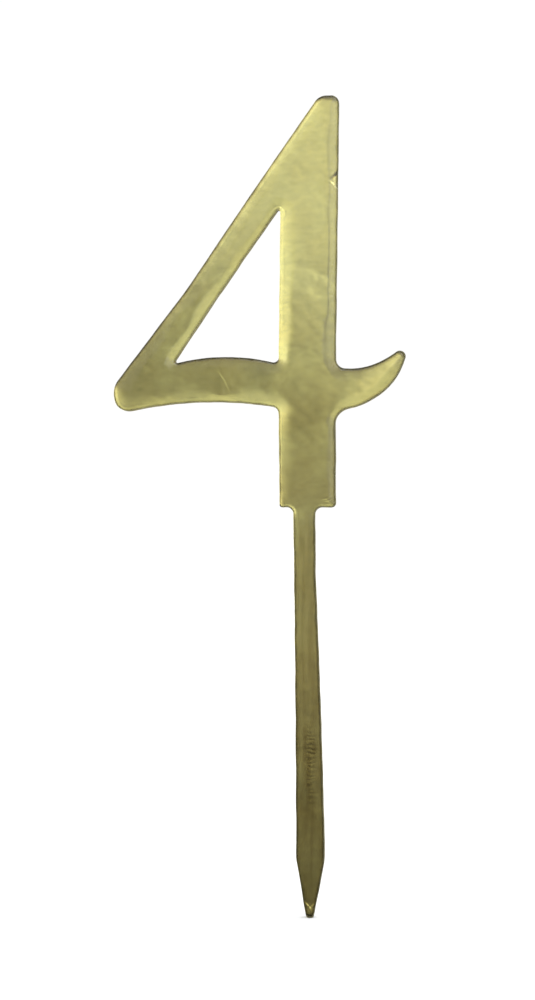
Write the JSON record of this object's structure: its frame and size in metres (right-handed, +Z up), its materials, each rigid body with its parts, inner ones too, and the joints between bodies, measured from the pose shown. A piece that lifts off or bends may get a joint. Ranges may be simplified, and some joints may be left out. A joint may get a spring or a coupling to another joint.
{
  "type": "number cake topper",
  "caption": "Flat numeral four of gold mirror acrylic on an integral pointed stake, pushed into a cake until its shoulders rest on the top.",
  "frame": {"origin": "on the back of the sheet, in the middle of the stake's root, level with the shoulders that rest on the cake", "axes": "+Z up along the stem, away from the stake's point; +X to the right when the numeral is read from the front; the mirror front faces -Y and the painted back faces +Y"},
  "size_m": [0.0497, 0.0021, 0.1391],
  "materials": {
    "protective_film": "clear, slightly hazy peel-off film",
    "gold_acrylic": "polished faces, laser-cut edges, amber tint that reads as olive gold over the mirror",
    "mirror_film": "vacuum-metallised mirror",
    "backing_paint": "matt protective paint"
  },
  "bodies": {
    "root": {"protective_film": "protective_film", "acrylic_sheet": "gold_acrylic", "mirror_film": "mirror_film", "backing_paint": "backing_paint"}
  },
  "joints": []
}
